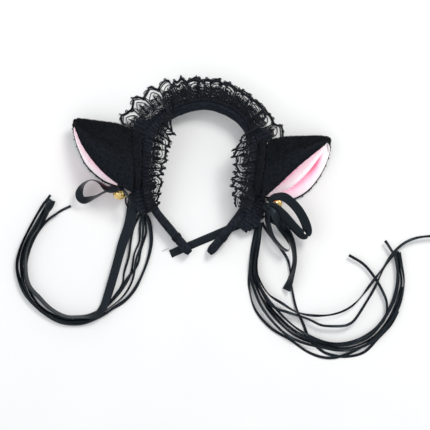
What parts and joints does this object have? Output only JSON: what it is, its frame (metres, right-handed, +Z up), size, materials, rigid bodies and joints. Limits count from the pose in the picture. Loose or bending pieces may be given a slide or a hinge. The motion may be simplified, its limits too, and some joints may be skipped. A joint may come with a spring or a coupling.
{
  "type": "animal ears headband",
  "caption": "Black cat ears headband lying flat: velvet hoop with lace frill, plush ears lined in pink, satin bows with gold jingle bells, and long ribbon streamers.",
  "frame": {"origin": "Middle of the bounding box's underside, on the table the headband lies on.", "axes": "+Z is up from that table and +Y runs from the hoop's open ends to its crown. +X is to the right when the side with the ears' pink linings is seen from above."},
  "size_m": [0.4206, 0.2848, 0.0504],
  "materials": {
    "velvet": "black velvet",
    "lace": "black corded lace",
    "plush": "short black plush",
    "pink_satin": "pale pink satin",
    "satin": "black satin ribbon",
    "felt": "black felt",
    "gold": "polished gold plate",
    "steel": "plain spring steel"
  },
  "bodies": {
    "headband": {"hoop_core": "steel", "velvet_cover": "velvet", "left_end_wrap": "velvet", "right_end_wrap": "velvet", "gathered_heading": "velvet", "lace_front_frill": "lace", "lace_back_frill": "lace", "left_ear_felt_base": "felt", "right_ear_felt_base": "felt", "under_band_tie": "satin"},
    "left_ear": {"left_ear_plush_back": "plush", "left_ear_pink_lining": "pink_satin", "left_ear_rim_wire": "steel"},
    "left_bow": {"left_bow_knot": "satin", "left_bow_big_loop": "satin", "left_bow_small_loop": "satin"},
    "left_ring": {"left_bell_jump_ring": "gold"},
    "left_bell": {"left_bell_shank": "gold", "left_bell_upper_shell": "gold", "left_bell_lower_shell": "gold"},
    "left_ball": {"left_bell_ball": "steel"},
    "right_ear": {"right_ear_plush_back": "plush", "right_ear_pink_lining": "pink_satin", "right_ear_rim_wire": "steel"},
    "right_bow": {"right_bow_knot": "satin", "right_bow_big_loop": "satin", "right_bow_small_loop": "satin", "right_bow_tail": "satin"},
    "right_ring": {"right_bell_jump_ring": "gold"},
    "right_bell": {"right_bell_shank": "gold", "right_bell_upper_shell": "gold", "right_bell_lower_shell": "gold"},
    "right_ball": {"right_bell_ball": "steel"},
    "left_bundle": {"left_streamer_gather": "satin"},
    "right_bundle": {"right_streamer_gather": "satin", "right_streamer_1": "satin"},
    "left_lift_1": {"left_streamer_1": "satin"},
    "left_lift_2": {"left_streamer_2": "satin"},
    "left_lift_3": {"left_streamer_3": "satin"},
    "left_lift_4": {"left_streamer_4": "satin"},
    "left_lift_5": {"left_streamer_5": "satin"},
    "left_lift_6": {"left_streamer_6": "satin"},
    "left_lift_7": {"left_wide_streamer": "satin"},
    "right_lift_2": {"right_streamer_2": "satin"},
    "right_lift_3": {"right_streamer_3": "satin"},
    "right_lift_4": {"right_streamer_4": "satin"},
    "right_lift_5": {"right_streamer_5": "satin"},
    "right_lift_6": {"right_streamer_6": "satin"},
    "right_lift_7": {"right_streamer_7": "satin"},
    "right_lift_8": {"right_streamer_8": "satin"},
    "right_lift_9": {"right_streamer_9": "satin"}
  },
  "joints": [
    {"name": "left_ear_lift", "type": "hinge", "parent": "headband", "child": "left_ear", "pos_m": [-0.09213, 0.05693, 0.029], "axis": [0, 1, 0], "range_deg": [0, 30]},
    {"name": "left_bow_turn", "type": "hinge", "parent": "left_ear", "child": "left_bow", "pos_m": [-0.10373, 0.02913, 0.025], "axis": [0, 0, 1], "range_deg": [-5, 5]},
    {"name": "left_ring_swing", "type": "hinge", "parent": "left_bow", "child": "left_ring", "pos_m": [-0.10407, 0.02784, 0.02195], "axis": [-0.2332, -0.8863, 0.4001], "range_deg": [-8, 12]},
    {"name": "left_bell_swing", "type": "hinge", "parent": "left_ring", "child": "left_bell", "pos_m": [-0.10443, 0.02649, 0.01874], "axis": [0.9671, -0.2545, 0], "range_deg": [-15, 15]},
    {"name": "left_ball_rattle", "type": "slide", "parent": "left_bell", "child": "left_ball", "axis": [0.1018, 0.3869, 0.9165], "range_m": [-0.0008, 0.004]},
    {"name": "right_ear_lift", "type": "hinge", "parent": "headband", "child": "right_ear", "pos_m": [0.04117, 0.05193, 0.029], "axis": [0, -1, 0], "range_deg": [0, 30]},
    {"name": "right_bow_turn", "type": "hinge", "parent": "right_ear", "child": "right_bow", "pos_m": [0.04027, 0.01043, 0.0205], "axis": [0, 0, 1], "range_deg": [-5, 5]},
    {"name": "right_ring_swing", "type": "hinge", "parent": "right_bow", "child": "right_ring", "pos_m": [0.04272, 0.01094, 0.01743], "axis": [0.7582, 0.1596, 0.6321], "range_deg": [-8, 12]},
    {"name": "right_bell_swing", "type": "hinge", "parent": "right_ring", "child": "right_bell", "pos_m": [0.04488, 0.0114, 0.01472], "axis": [-0.206, 0.9785, 0], "range_deg": [-15, 15]},
    {"name": "right_ball_rattle", "type": "slide", "parent": "right_bell", "child": "right_ball", "axis": [-0.6186, -0.1302, 0.7749], "range_m": [-0.0008, 0.004]},
    {"name": "left_bundle_swing", "type": "hinge", "parent": "headband", "child": "left_bundle", "pos_m": [-0.08273, 0.01043, 0.0044], "axis": [0, 0, 1], "range_deg": [-5, 5]},
    {"name": "right_bundle_swing", "type": "hinge", "parent": "headband", "child": "right_bundle", "pos_m": [0.03227, 0.00093, 0.0046], "axis": [0, 0, 1], "range_deg": [-6, 5]},
    {"name": "left_streamer_1_lift", "type": "hinge", "parent": "left_bundle", "child": "left_lift_1", "pos_m": [-0.08273, 0.00593, 0.0003], "axis": [-0.9726, 0.2326, 0], "range_deg": [0, 6]},
    {"name": "left_streamer_2_lift", "type": "hinge", "parent": "left_lift_1", "child": "left_lift_2", "pos_m": [-0.08273, 0.00593, 0.0011], "axis": [-0.9726, 0.2326, 0], "range_deg": [0, 6]},
    {"name": "left_streamer_3_lift", "type": "hinge", "parent": "left_lift_2", "child": "left_lift_3", "pos_m": [-0.08273, 0.00593, 0.0019], "axis": [-0.9726, 0.2326, 0], "range_deg": [0, 6]},
    {"name": "left_streamer_4_lift", "type": "hinge", "parent": "left_lift_3", "child": "left_lift_4", "pos_m": [-0.08273, 0.00593, 0.0027], "axis": [-0.9726, 0.2326, 0], "range_deg": [0, 6]},
    {"name": "left_streamer_5_lift", "type": "hinge", "parent": "left_lift_4", "child": "left_lift_5", "pos_m": [-0.08273, 0.00593, 0.0035], "axis": [-0.9726, 0.2326, 0], "range_deg": [0, 6]},
    {"name": "left_streamer_6_lift", "type": "hinge", "parent": "left_lift_5", "child": "left_lift_6", "pos_m": [-0.08273, 0.00593, 0.0043], "axis": [-0.9726, 0.2326, 0], "range_deg": [0, 6]},
    {"name": "left_wide_streamer_lift", "type": "hinge", "parent": "left_lift_6", "child": "left_lift_7", "pos_m": [-0.09323, 0.01793, 0.0054], "axis": [-0.9726, 0.2326, 0], "range_deg": [0, 12]},
    {"name": "right_streamer_2_lift", "type": "hinge", "parent": "right_bundle", "child": "right_lift_2", "pos_m": [0.03227, -0.00487, 0.0011], "axis": [-1, 0, 0], "range_deg": [0, 5]},
    {"name": "right_streamer_3_lift", "type": "hinge", "parent": "right_lift_2", "child": "right_lift_3", "pos_m": [0.03227, -0.00487, 0.0019], "axis": [-1, 0, 0], "range_deg": [0, 5]},
    {"name": "right_streamer_4_lift", "type": "hinge", "parent": "right_lift_3", "child": "right_lift_4", "pos_m": [0.03227, -0.00487, 0.0027], "axis": [-1, 0, 0], "range_deg": [0, 5]},
    {"name": "right_streamer_5_lift", "type": "hinge", "parent": "right_lift_4", "child": "right_lift_5", "pos_m": [0.03227, -0.00487, 0.0035], "axis": [-1, 0, 0], "range_deg": [0, 5]},
    {"name": "right_streamer_6_lift", "type": "hinge", "parent": "right_lift_5", "child": "right_lift_6", "pos_m": [0.03227, -0.00487, 0.0043], "axis": [-1, 0, 0], "range_deg": [0, 5]},
    {"name": "right_streamer_7_lift", "type": "hinge", "parent": "right_lift_6", "child": "right_lift_7", "pos_m": [0.03227, -0.00487, 0.0051], "axis": [-1, 0, 0], "range_deg": [0, 5]},
    {"name": "right_streamer_8_lift", "type": "hinge", "parent": "right_lift_7", "child": "right_lift_8", "pos_m": [0.03227, -0.00487, 0.0059], "axis": [-1, 0, 0], "range_deg": [0, 5]},
    {"name": "right_streamer_9_lift", "type": "hinge", "parent": "right_lift_8", "child": "right_lift_9", "pos_m": [0.03227, -0.00487, 0.0067], "axis": [-1, 0, 0], "range_deg": [0, 5]}
  ]
}
